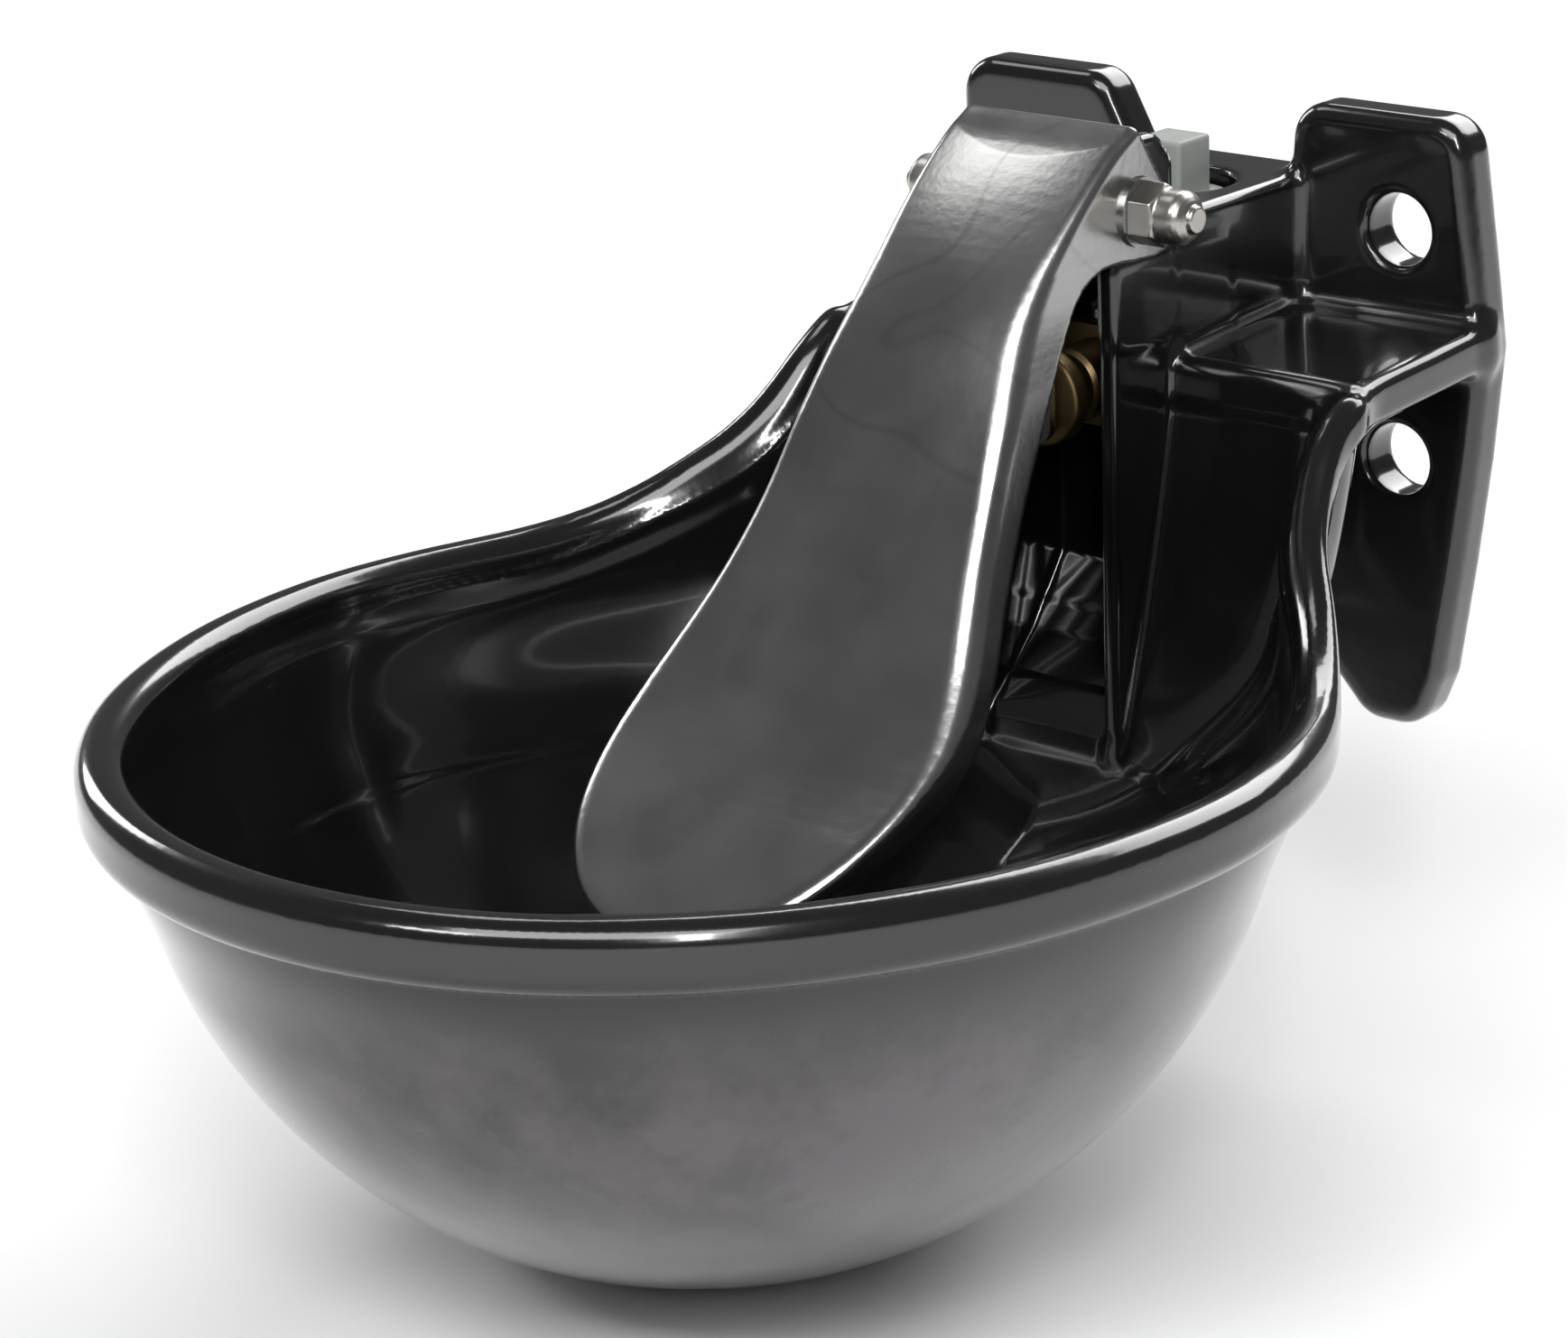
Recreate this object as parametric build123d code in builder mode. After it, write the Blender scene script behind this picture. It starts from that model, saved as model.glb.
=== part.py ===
"""Wall-hung livestock drinking bowl with a press paddle and a push valve.

Frame: the origin is the centre of the four fixing holes on the flat back face,
+X to the right as one faces the bowl, +Y into the wall, +Z up. Millimetres.
"""

from math import hypot
import os

from build123d import *

os.makedirs("parts", exist_ok=True)

# ---------------------------------------------------------------- dimensions
# fixing ears
hole_dx = 100.0          # hole spacing across
hole_dz = 55.0           # hole spacing up
hole_d = 17.0
ear_t = 13.0
ear_top = 55.5
ear_out_top = 69.0       # outer edge at the top
ear_kink_x, ear_kink_z = 74.5, 1.0
ear_foot_x, ear_foot_z = 61.0, -93.5
ear_in_top = 24.0

# hinge
hinge_y, hinge_z = -77.5, 42.0
axle_r = 4.0
axle_half = 35.5
bush_bore_r = 4.05
bush_r = 5.97
lug_bore_r = 6.0
wall_in, wall_out = 17.0, 22.0       # channel walls, inner and outer face
wall_front = -85.0
flange_in, flange_out = 22.7, 24.2   # paddle flange at the hinge
sheet_t = 1.5
nut_washer_t = 1.0
nut_af = 13.0
nut_len = 15.0

# housing
roof_z = 37.5
house_back_x = 23.5
house_low = -72.0
channel_back = -54.0
duct_y = -31.0
duct_r = 9.5             # drilled for a half-inch pipe thread
duct_mid_r = 8.3         # cored passage between the two threads
strainer_z = -52.0       # shoulder at the inlet thread's inner end
recess_r, recess_floor = 14.5, 30.0
valve_z = -3.0
valve_bore_r = 11.0
valve_bore_end = -16.5

# bowl body
bead_a, bead_b, plan_y = 132.0, 145.0, -196.8   # bead's outer plan ellipse
bead_w = 6.5             # bead's overhang past the wall
bead_h = 13.4
rim_z = -40.0
wall_t = 6.0
body_a, body_b, body_y = 123.9, 127.8, -202.9   # fitted lower body
body_z0, body_c, body_m = -51.6, 116.3, 1.89
neck_half = 74.5         # neck's outer half width over the bead
ledge_z, ledge_t = 6.5, 11.0

# valve
button_r, button_t = 11.5, 4.6
button_front = -87.0
stem_r = 2.0


# ------------------------------------------------------------ bowl's sections
def body_rho(z, c):
    """Share of the full plan size that the round lower body has at height z."""
    h = min(max((body_z0 - z) / c, 0.0), 0.999)
    return (1.0 - h**body_m) ** (1.0 / body_m)


def back_y(z, inside):
    """Back wall's outer or inner face: it leans forward on its way down."""
    return (-60.1 if inside else -54.0) - (3.4 - z) * 0.257


def plan(z, inside=False):
    """Ellipse of the bowl at height z: half width, half length, centre."""
    if z >= -46.0:
        a, b, yc = bead_a - bead_w, bead_b - bead_w, plan_y
    elif z >= -58.0:
        a, b, yc = 124.2, 133.0, -199.5
    else:
        rho = body_rho(z, body_c)
        a, b, yc = body_a * rho, body_b * rho, body_y
    if inside and z >= -58.0:
        return a - wall_t, b - wall_t, yc
    if inside:
        rho = body_rho(z, body_c - wall_t)
        return (body_a - wall_t) * rho, (body_b - wall_t) * rho, yc
    return a, b, yc


outer_levels = [20.0, -46.0, -58.0, -75.0, -95.0, -115.0, -133.0, -147.0, -156.0, -162.0, -165.6,
                -167.6]
inner_levels = [40.0, -46.0, -58.0, -75.0, -95.0, -115.0, -131.0, -143.0, -151.0, -156.5, -159.8,
                -161.6]

with BuildPart() as bowl_outer:
    for level in outer_levels:
        with BuildSketch(Plane.XY.offset(level)):
            with Locations((0, plan(level)[2])):
                Ellipse(*plan(level)[:2])
    loft(ruled=True)

with BuildPart() as bowl_inner:
    for level in inner_levels:
        with BuildSketch(Plane.XY.offset(level)):
            with Locations((0, plan(level, True)[2])):
                Ellipse(*plan(level, True)[:2])
    loft(ruled=True)


def neck(inside):
    """Neck in front view: half width against height, thinned for its hollow."""
    t = wall_t if inside else 0.0
    top = 40.0 if inside else 20.0
    right = [(68.0 - t, top), (68.0 - t, -20.0), (66.0 - t, -46.0), (62.0 - t, -58.0),
             (50.0 - t, -75.0), (30.0 - t, -95.0 + t), (6.0, -112.0 + t)]
    return right + [(-x, z) for x, z in reversed(right)]


with BuildPart() as neck_outer:
    with BuildSketch(Plane.XZ.offset(50.0)):
        with BuildLine():
            Polyline(*neck(False), close=True)
        make_face()
    extrude(amount=62.0)

with BuildPart() as neck_inner:
    with BuildSketch(Plane.XZ.offset(50.0)):
        with BuildLine():
            Polyline(*neck(True), close=True)
        make_face()
    extrude(amount=75.0)

with BuildPart() as behind_outer:
    with BuildSketch(Plane.YZ):
        with BuildLine():
            Polyline((back_y(80, False), 80), (60, 80), (60, -200), (back_y(-200, False), -200),
                     close=True)
        make_face()
    extrude(amount=170, both=True)

with BuildPart() as behind_inner:
    with BuildSketch(Plane.YZ):
        with BuildLine():
            Polyline((back_y(80, True), 80), (60, 80), (60, -200), (back_y(-200, True), -200),
                     close=True)
        make_face()
    extrude(amount=170, both=True)

# the rim's height seen from the side: level round the front, then an S up to the ledges
s_low, s_high = (-110.7, rim_z), (-69.9, ledge_z)
with BuildPart() as above_rim:
    with BuildSketch(Plane.YZ) as rim_sk:
        with BuildLine():
            Polyline((-400, rim_z), s_low, s_high, (60, ledge_z), (60, 90), (-400, 90),
                     close=True)
        make_face()
        fillet(rim_sk.vertices().sort_by_distance((*s_low, 0))[0], radius=66.0)
        fillet(rim_sk.vertices().sort_by_distance((*s_high, 0))[0], radius=30.0)
    extrude(amount=170, both=True)

# rim bead: a band standing proud of the wall all along the rim
with BuildPart() as bead_band:
    with BuildSketch(Plane.YZ) as band_sk:
        with BuildLine():
            Polyline((-400, rim_z), s_low, s_high, (-56, ledge_z), (-56, ledge_z - ledge_t),
                     (s_high[0] + 3, ledge_z - ledge_t), (s_low[0] + 3, rim_z - bead_h),
                     (-400, rim_z - bead_h), close=True)
        make_face()
        fillet(band_sk.vertices().sort_by_distance((*s_low, 0))[0], radius=66.0)
        fillet(band_sk.vertices().sort_by_distance((*s_high, 0))[0], radius=30.0)
        fillet(band_sk.vertices().sort_by_distance((s_low[0] + 3, rim_z - bead_h, 0))[0],
               radius=66.0)
    extrude(amount=170, both=True)

with BuildPart() as bead:
    with BuildSketch(Plane.XY.offset(-70.0)):
        with Locations((0, plan_y)):
            Ellipse(bead_a, bead_b)
        with Locations((0, -85.0)):
            Rectangle(2 * neck_half, 58.0)
    extrude(amount=90.0)
    add(bead_band.part, mode=Mode.INTERSECT)


def ear_outline(side):
    return [
        (side * ear_in_top, ear_top), (side * ear_out_top, ear_top),
        (side * ear_kink_x, ear_kink_z), (side * ear_foot_x, ear_foot_z),
        (side * 37.5, ear_foot_z), (side * 21.0, -70.0), (side * 18.0, -40.0),
        (side * 18.0, 30.0),
    ]


def side_wall_outline():
    """Channel wall with its hinge lug, in side view."""
    return [
        (-40.0, roof_z), (-62.0, roof_z), (-62.0, 56.0), (wall_front, 56.0),
        (wall_front, -86.0), (-91.0, -101.0), (-60.0, -80.0), (-40.0, -60.0),
    ]


# ------------------------------------------------------------------- casting
with BuildPart() as hollow:
    add(bowl_inner.part)
    add(neck_inner.part)
    add(behind_inner.part, mode=Mode.SUBTRACT)

with BuildPart() as low_hollow:
    add(hollow.part)
    with BuildSketch(Plane.XY.offset(-56.0)):
        with Locations((0, -200)):
            Rectangle(300, 320)
    extrude(amount=120.0, mode=Mode.SUBTRACT)
    with BuildSketch(Plane.YZ):
        with BuildLine():
            Polyline((-93, 10), (-93, -200), (0, -200), (0, 10), close=True)
        make_face()
    extrude(amount=160.0, both=True, mode=Mode.SUBTRACT)

with BuildPart() as bowl_casting:
    # bowl and neck
    add(bowl_outer.part)
    add(neck_outer.part)
    add(behind_outer.part, mode=Mode.SUBTRACT)
    add(above_rim.part, mode=Mode.SUBTRACT)
    add(bead.part)
    add(hollow.part, mode=Mode.SUBTRACT)
    # shoulder ledges, tied to the ears
    for side in (-1, 1):
        with BuildSketch(Plane.XY.offset(ledge_z)) as ledge_sk:
            with BuildLine():
                Polyline((side * 18, -4), (side * neck_half, -4), (side * neck_half, -56),
                         (side * 70, -64), (side * 18, -64), close=True)
            make_face()
        extrude(amount=-ledge_t)
    # ears
    for side in (-1, 1):
        with BuildSketch(Plane.XZ) as ear_sk:
            with BuildLine():
                Polyline(*ear_outline(side), close=True)
            make_face()
            corners = ear_sk.vertices()
            top = corners.group_by(Axis.Y)[-1]
            fillet(top, radius=8.5)
            foot = ear_sk.vertices().group_by(Axis.Y)[0]
            fillet(foot, radius=11.0)
            kink = ear_sk.vertices().filter_by(
                lambda v: abs(v.Y - ear_kink_z) < 0.5 and abs(v.X) > 60)
            fillet(kink, radius=9.0)
        extrude(amount=ear_t)
    # housing with its roof
    with BuildSketch(Plane.XY.offset(house_low)) as house_sk:
        with BuildLine():
            Polyline((-house_back_x, 0), (house_back_x, 0), (wall_out, -62), (-wall_out, -62),
                     close=True)
        make_face()
    extrude(amount=roof_z - house_low)
    # channel walls with the hinge lugs
    for x0 in (-wall_out, wall_in):
        with BuildSketch(Plane.YZ.offset(x0)) as wall_sk:
            with BuildLine():
                Polyline(*side_wall_outline(), close=True)
            make_face()
            lug_top = wall_sk.vertices().group_by(Axis.Y)[-1]
            fillet(lug_top, radius=9.5)
        extrude(amount=wall_out - wall_in)
    # floor of the channel, sloping into the bowl
    with BuildSketch(Plane.YZ) as floor_sk:
        with BuildLine():
            Polyline((channel_back, -40), (channel_back, -52), (-70, -74), (-88, -95),
                     (-93, -104), (-84, -104), (-46, -72), (-40, -40), close=True)
        make_face()
    extrude(amount=wall_in + 0.5, both=True)
    # channel cleared from above down to its floor
    with BuildSketch(Plane.YZ) as channel_sk:
        with BuildLine():
            Polyline((channel_back, 70), (channel_back, -52), (-70, -74), (-88, -95),
                     (-120, -95), (-120, 70), close=True)
        make_face()
    extrude(amount=wall_in, both=True, mode=Mode.SUBTRACT)
    # bowl's hollow kept clear of the channel's foot
    add(low_hollow.part, mode=Mode.SUBTRACT)
    # roof recess and the upright water duct
    with Locations((0, duct_y, roof_z)):
        CounterBoreHole(radius=duct_mid_r, counter_bore_radius=recess_r,
                        counter_bore_depth=roof_z - recess_floor, depth=roof_z - house_low)
    with Locations((0, duct_y, recess_floor)):
        Hole(radius=duct_r, depth=14.0)
    with BuildSketch(Plane.XY.offset(house_low)):
        with Locations((0, duct_y)):
            Circle(duct_r)
    extrude(amount=strainer_z - house_low, mode=Mode.SUBTRACT)
    # valve bore from the channel
    with Locations(Plane.XZ.offset(-channel_back) * Location((0, valve_z, 0))):
        Hole(radius=valve_bore_r, depth=channel_back * -1 + valve_bore_end)
    # hinge bores in both lugs
    with Locations(Plane.YZ.offset(wall_out + 1) * Location((hinge_y, hinge_z, 0))):
        Hole(radius=lug_bore_r, depth=2 * wall_out + 2)
    # fixing holes
    with Locations(Plane.XZ.offset(ear_t) * Location((0, 0, 0))):
        with GridLocations(hole_dx, hole_dz, 2, 2):
            Hole(radius=hole_d / 2, depth=ear_t)
bowl_casting.part.label = "bowl_casting"

# ------------------------------------------------------------------- paddle
# centre line of the face in side view (y, z) and its half width
face_pts = [
    (-78.0, 61.5, 24.2), (-87.4, 55.3, 24.2), (-96.4, 48.3, 24.2), (-104.5, 41.3, 24.2),
    (-112.4, 33.8, 24.2), (-119.4, 26.3, 24.8), (-125.6, 18.5, 25.9), (-131.0, 10.2, 27.2),
    (-136.2, 1.6, 28.7), (-141.0, -6.8, 29.9), (-146.1, -15.3, 31.3), (-151.4, -23.4, 33.1),
    (-156.8, -31.4, 35.4), (-162.5, -39.0, 38.0), (-168.9, -46.3, 40.5), (-175.8, -53.0, 42.3),
    (-184.2, -59.4, 42.8), (-193.5, -65.6, 41.7), (-203.1, -71.5, 38.8), (-212.6, -77.5, 33.7),
    (-221.4, -83.0, 25.6), (-227.6, -86.8, 15.0), (-230.8, -88.7, 0.0),
]
face_line = [(y, z) for y, z, _ in face_pts]


def offset_line(line, distance):
    """Points moved square to the line, towards its back."""
    out = []
    for i, (y, z) in enumerate(line):
        y0, z0 = line[max(i - 1, 0)]
        y1, z1 = line[min(i + 1, len(line) - 1)]
        ty, tz = y1 - y0, z1 - z0
        n = hypot(ty, tz)
        out.append((y - tz / n * distance, z + ty / n * distance))
    return out


back_line = offset_line(face_line, sheet_t)
flange_edge = [
    (-62.2, 44.0), (-60.8, 40.0), (-62.6, 34.6), (-68.0, 31.0), (-76.8, 30.6), (-84.5, 31.4),
    (-91.5, 31.4), (-99.1, 28.6), (-108.0, 19.5), (-117.2, 8.0), (-127.5, -7.0), (-139.2, -24.4),
    (-150.7, -39.6), (-162.0, -53.0), (-171.4, -62.5), (-180.5, -69.6), (-192.7, -78.2),
    (-204.0, -85.0), (-216.0, -91.8), (-227.0, -97.0),
]

with BuildPart() as paddle_sheet:
    with BuildSketch(Plane.YZ):
        with BuildLine():
            Spline(*face_line)
            Spline(*back_line)
            Line(face_line[0], back_line[0])
            Line(face_line[-1], back_line[-1])
        make_face()
    extrude(amount=60, both=True)

with BuildPart() as paddle_band:
    with BuildSketch(Plane.YZ):
        with BuildLine():
            Spline(*face_line)
            Line(face_line[0], flange_edge[0])
            Spline(*flange_edge)
            Line(flange_edge[-1], face_line[-1])
        make_face()
    extrude(amount=60, both=True)

paddle_low = [(w, z) for _, z, w in face_pts[4:]]


def paddle_plan(shrink, top):
    """Right-hand outline in front view, as points below the straight upper part."""
    pts = [(w, z) for w, z in paddle_low]
    if shrink:
        inner = []
        for i, (w, z) in enumerate(pts):
            w0, z0 = pts[max(i - 1, 0)]
            if i + 1 < len(pts):
                w1, z1 = pts[i + 1]
            else:
                w1, z1 = -pts[-2][0], pts[-2][1]
            tw, tz = w1 - w0, z1 - z0
            n = hypot(tw, tz)
            inner.append((w + tz / n * shrink, z - tw / n * shrink))
        inner[0] = (pts[0][0] - shrink, pts[0][1])
        inner[-1] = (0.0, pts[-1][1] + shrink)
        pts = inner
    return pts


def paddle_outline(shrink, top):
    pts = paddle_plan(shrink, top)
    right = [(x, z) for x, z in pts]
    left = [(-x, z) for x, z in reversed(pts[:-1])]
    edge = flange_out - shrink
    return right + left, edge, top


def outline_face(shrink, top):
    curve, edge, top_z = paddle_outline(shrink, top)
    start, stop = curve[0], curve[-1]
    Spline(*curve, tangents=[(0.04, -1), (0.04, 1)])
    Polyline(start, (edge, 41.0), (edge, top_z), (-edge, top_z), (-edge, 41.0), stop)


with BuildPart() as paddle_block:
    with BuildSketch(Plane.XZ):
        with BuildLine():
            outline_face(0.0, 75.0)
        make_face()
    extrude(amount=260)

with BuildPart() as paddle_core:
    with BuildSketch(Plane.XZ):
        with BuildLine():
            outline_face(sheet_t, 90.0)
        make_face()
    extrude(amount=260)

with BuildPart() as paddle_flange:
    add(paddle_band.part)
    add(paddle_block.part, mode=Mode.INTERSECT)
    add(paddle_core.part, mode=Mode.SUBTRACT)

with BuildPart() as press_paddle:
    add(paddle_sheet.part)
    add(paddle_block.part, mode=Mode.INTERSECT)
    add(paddle_flange.part)
    with Locations(Plane.YZ.offset(flange_out + 1) * Location((hinge_y, hinge_z, 0))):
        Hole(radius=axle_r + 0.05, depth=2 * flange_out + 2)
press_paddle.part.label = "press_paddle"

# striker bracket: cross plate between the flanges with a tongue down to the button
striker_back = button_front - 0.4
striker_t = 2.0
with BuildPart() as striker_bracket:
    with BuildSketch(Plane.XZ.offset(-striker_back)) as plate_sk:
        with BuildLine():
            Polyline((-flange_in, 50), (flange_in, 50), (flange_in, 37), (9, 33), (7, 26),
                     (7, -12), (-7, -12), (-7, 26), (-9, 33), (-flange_in, 37), close=True)
        make_face()
        tip = plate_sk.vertices().group_by(Axis.Y)[0]
        fillet(tip, radius=4.0)
    extrude(amount=striker_t)
    for x0 in (-flange_in, flange_in - striker_t):
        with BuildSketch(Plane.YZ.offset(x0)) as tab_sk:
            with BuildLine():
                Polyline((striker_back - 1.0, 50), (-91.5, 50), (-99, 43.5), (-99, 38), (striker_back - 1.0, 38),
                         close=True)
            make_face()
        extrude(amount=striker_t)
striker_bracket.part.label = "striker_bracket"

# -------------------------------------------------------------- hinge pieces
hinge_plane = Plane(origin=(0, hinge_y, hinge_z), x_dir=(0, 1, 0), z_dir=(1, 0, 0))

with BuildPart() as hinge_axle:
    with BuildSketch(hinge_plane):
        Circle(axle_r)
    extrude(amount=axle_half, both=True)
    chamfer(hinge_axle.edges().filter_by(GeomType.CIRCLE), length=0.8)
hinge_axle.part.label = "hinge_axle"

nut_start = flange_out + nut_washer_t
with BuildPart() as hinge_cap_nuts:
    for side in (-1, 1):
        seat = Plane(origin=(side * nut_start, hinge_y, hinge_z), x_dir=(0, 1, 0),
                     z_dir=(side, 0, 0))
        with BuildSketch(seat):
            RegularPolygon(radius=nut_af / 2, side_count=6, major_radius=False, rotation=30)
        extrude(amount=6.5)
        # domed cap with a small flat tip, turned about the hinge axis
        prof = Plane(origin=(side * nut_start, hinge_y, hinge_z), x_dir=(side, 0, 0),
                     z_dir=(0, -side, 0))
        with BuildSketch(prof):
            with BuildLine():
                Polyline((6.0, 0), (6.0, 6.2), (10.6, 6.2), (12.2, 5.6), (13.3, 4.6), (13.6, 3.3),
                         (nut_len, 3.1), (nut_len, 0), (6.0, 0))
            make_face()
        revolve(axis=Axis((0, hinge_y, hinge_z), (1, 0, 0)))
        with BuildSketch(seat):
            Circle(axle_r)
        extrude(amount=axle_half - nut_start + 0.4, mode=Mode.SUBTRACT)
hinge_cap_nuts.part.label = "hinge_cap_nuts"

with BuildPart() as nut_washers:
    for side in (-1, 1):
        with BuildSketch(Plane(origin=(side * flange_out, hinge_y, hinge_z), x_dir=(0, 1, 0),
                               z_dir=(side, 0, 0))):
            Circle(8.0)
            Circle(axle_r + 0.1, mode=Mode.SUBTRACT)
        extrude(amount=nut_washer_t)
nut_washers.part.label = "nut_washers"

with BuildPart() as thrust_washers:
    for side in (-1, 1):
        with BuildSketch(Plane(origin=(side * (wall_out + 0.05), hinge_y, hinge_z),
                               x_dir=(0, 1, 0), z_dir=(side, 0, 0))):
            Circle(8.5)
            Circle(axle_r + 0.1, mode=Mode.SUBTRACT)
        extrude(amount=0.5)
thrust_washers.part.label = "thrust_washers"

with BuildPart() as hinge_bushes:
    for side in (-1, 1):
        with BuildSketch(Plane(origin=(side * wall_in, hinge_y, hinge_z), x_dir=(0, 1, 0),
                               z_dir=(side, 0, 0))):
            Circle(bush_r)
            Circle(bush_bore_r, mode=Mode.SUBTRACT)
        extrude(amount=wall_out - wall_in)
        with BuildSketch(Plane(origin=(side * wall_in, hinge_y, hinge_z), x_dir=(0, 1, 0),
                               z_dir=(-side, 0, 0))):
            Circle(8.2)
            Circle(bush_bore_r, mode=Mode.SUBTRACT)
        extrude(amount=1.2)
hinge_bushes.part.label = "hinge_bushes"


# --------------------------------------------------------------- valve pieces
def along_y(y):
    """Plane across the valve's axis at y, facing the wall."""
    return Plane(origin=(0, y, valve_z), x_dir=(1, 0, 0), z_dir=(0, 1, 0))


nose_front = -74.0
hex_front, hex_back = -62.2, -55.2
screw_y = -58.8
with BuildPart() as valve_body:
    with BuildSketch(along_y(nose_front)):
        Circle(9.0)
    extrude(amount=hex_front - nose_front + 1)
    chamfer(valve_body.faces().sort_by(Axis.Y)[0].edges(), length=1.0)
    with BuildSketch(along_y(hex_front)):
        RegularPolygon(radius=12.0, side_count=6, major_radius=False)
    extrude(amount=hex_back - hex_front)
    with BuildSketch(along_y(hex_back)):
        Circle(valve_bore_r - 0.05)
    extrude(amount=-44.0 - hex_back)
    with BuildSketch(along_y(-44.0)):
        Circle(8.3)
    extrude(amount=2.0)
    # bores from the wall side: seat pocket, water passage, stem guide
    with BuildSketch(along_y(-42.0)):
        Circle(6.0)
    extrude(amount=-4.0, mode=Mode.SUBTRACT)
    with BuildSketch(along_y(-46.0)):
        Circle(4.6)
    extrude(amount=-20.0, mode=Mode.SUBTRACT)
    with BuildSketch(along_y(-74.5)):
        Circle(4.6)
    extrude(amount=6.0, mode=Mode.SUBTRACT)
    with BuildSketch(along_y(-69.0)):
        Circle(2.4)
    extrude(amount=5.0, mode=Mode.SUBTRACT)
    # outlet port down into the channel
    with BuildSketch(Plane(origin=(0, -65.0, valve_z), z_dir=(0, 0, -1), x_dir=(1, 0, 0))):
        SlotCenterToCenter(3.0, 5.0, rotation=0)
    extrude(amount=16.0, mode=Mode.SUBTRACT)
    # threaded hole for the flow screw, from above
    with BuildSketch(Plane(origin=(0, screw_y, valve_z + 3.0), z_dir=(0, 0, 1), x_dir=(1, 0, 0))):
        Circle(2.0)
    extrude(amount=14.0, mode=Mode.SUBTRACT)
valve_body.part.label = "valve_body"

with BuildPart() as body_gasket:
    with BuildSketch(along_y(hex_back + 0.0)):
        Circle(13.4)
        Circle(valve_bore_r + 0.1, mode=Mode.SUBTRACT)
    extrude(amount=channel_back - hex_back)
body_gasket.part.label = "body_gasket"

with BuildPart() as valve_seat:
    with BuildSketch(along_y(-46.0)):
        Circle(5.98)
        Circle(4.0, mode=Mode.SUBTRACT)
    extrude(amount=4.4)
    chamfer(valve_seat.faces().sort_by(Axis.Y)[-1].edges().sort_by(SortBy.RADIUS)[-1:], length=1.2)
valve_seat.part.label = "valve_seat"

with BuildPart() as seal_disc:
    with BuildSketch(along_y(-41.5)):
        Circle(6.2)
        Circle(stem_r, mode=Mode.SUBTRACT)
    extrude(amount=3.0)
seal_disc.part.label = "seal_disc"

with BuildPart() as seal_nut:
    with BuildSketch(along_y(-44.0)):
        RegularPolygon(radius=3.0, side_count=6, major_radius=False)
        Circle(stem_r, mode=Mode.SUBTRACT)
    extrude(amount=2.5)
seal_nut.part.label = "seal_nut"

with BuildPart() as valve_stem:
    with BuildSketch(along_y(button_front + 2.2)):
        Circle(stem_r)
    extrude(amount=-21.5 - (button_front + 2.2))
    with BuildSketch(along_y(-38.5)):
        Circle(6.0)
    extrude(amount=1.8)
valve_stem.part.label = "valve_stem"

# push button: low-domed round head on the stem
with BuildPart() as push_button:
    prof = Plane(origin=(0, button_front, valve_z), x_dir=(1, 0, 0), z_dir=(0, 0, 1))
    with BuildSketch(prof):
        with BuildLine():
            ThreePointArc((0, 0), (button_r * 0.52, 0.55), (button_r, 2.0))
            Polyline((button_r, 2.0), (button_r, button_t + 1.6), (button_r - 1.2, button_t + 2.4),
                     (0, button_t + 2.4), (0, 0))
        make_face()
    revolve(axis=Axis((0, 0, valve_z), (0, 1, 0)))
    with BuildSketch(along_y(button_front + 2.2)):
        Circle(stem_r)
    extrude(amount=10, mode=Mode.SUBTRACT)
push_button.part.label = "push_button"

with BuildPart() as stem_guide:
    with BuildSketch(along_y(-74.0)):
        Circle(4.58)
        Circle(stem_r + 0.05, mode=Mode.SUBTRACT)
    extrude(amount=3.0)
stem_guide.part.label = "stem_guide"

with BuildPart() as guide_o_ring:
    with BuildSketch(Plane(origin=(0, -69.8, valve_z), x_dir=(1, 0, 0), z_dir=(0, 0, 1))):
        with Locations((3.3, 0)):
            Circle(0.95)
    revolve(axis=Axis((0, 0, valve_z), (0, 1, 0)))
guide_o_ring.part.label = "guide_o_ring"

# return spring between the stem's collar and the cage's end
spring_start, spring_end = -36.7, -21.2
with BuildLine() as spring_path:
    Helix(pitch=(spring_end - spring_start - 1.3) / 5, height=spring_end - spring_start - 1.3,
          radius=4.6, center=(0, spring_start + 0.65, valve_z), direction=(0, 1, 0))
with BuildPart() as return_spring:
    with BuildSketch(Plane(origin=spring_path.line @ 0, z_dir=spring_path.line % 0)):
        Circle(0.55)
    sweep(path=spring_path.line, is_frenet=True)
return_spring.part.label = "return_spring"

# slotted cage round the spring, pushed on the body's inner neck
with BuildPart() as spring_cage:
    with BuildSketch(along_y(-43.9)):
        Circle(9.6)
    extrude(amount=25.0)
    with BuildSketch(along_y(-43.9)):
        Circle(8.35)
    extrude(amount=23.0, mode=Mode.SUBTRACT)
    with BuildSketch(along_y(-20.9)):
        Circle(stem_r + 0.3)
    extrude(amount=3.0, mode=Mode.SUBTRACT)
    for z_dir in ((0, 0, 1), (1, 0, 0)):
        with BuildSketch(Plane(origin=(0, -31.5, valve_z), z_dir=z_dir, x_dir=(0, 1, 0))):
            SlotOverall(15.0, 8.0)
        extrude(amount=12, both=True, mode=Mode.SUBTRACT)
spring_cage.part.label = "spring_cage"

# flow screw in the body's top
screw_plane = Plane(origin=(0, screw_y, valve_z + 5.0), z_dir=(0, 0, 1), x_dir=(1, 0, 0))
with BuildPart() as flow_screw:
    with BuildSketch(screw_plane):
        Circle(1.95)
    extrude(amount=10.8)
    with BuildSketch(screw_plane.offset(8.6)):
        Circle(3.0)
    extrude(amount=3.2)
    chamfer(flow_screw.faces().sort_by(Axis.Z)[-1].edges(), length=0.4)
    with BuildSketch(screw_plane.offset(10.6)):
        Rectangle(0.9, 8)
    extrude(amount=2.0, mode=Mode.SUBTRACT)
flow_screw.part.label = "flow_screw"

with BuildPart() as flow_screw_o_ring:
    with BuildSketch(Plane(origin=(0, screw_y, valve_z + 12.8), x_dir=(1, 0, 0), z_dir=(0, -1, 0))):
        with Locations((2.55, 0)):
            Circle(0.6)
    revolve(axis=Axis((0, screw_y, 0), (0, 0, 1)))
flow_screw_o_ring.part.label = "flow_screw_o_ring"

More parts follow.
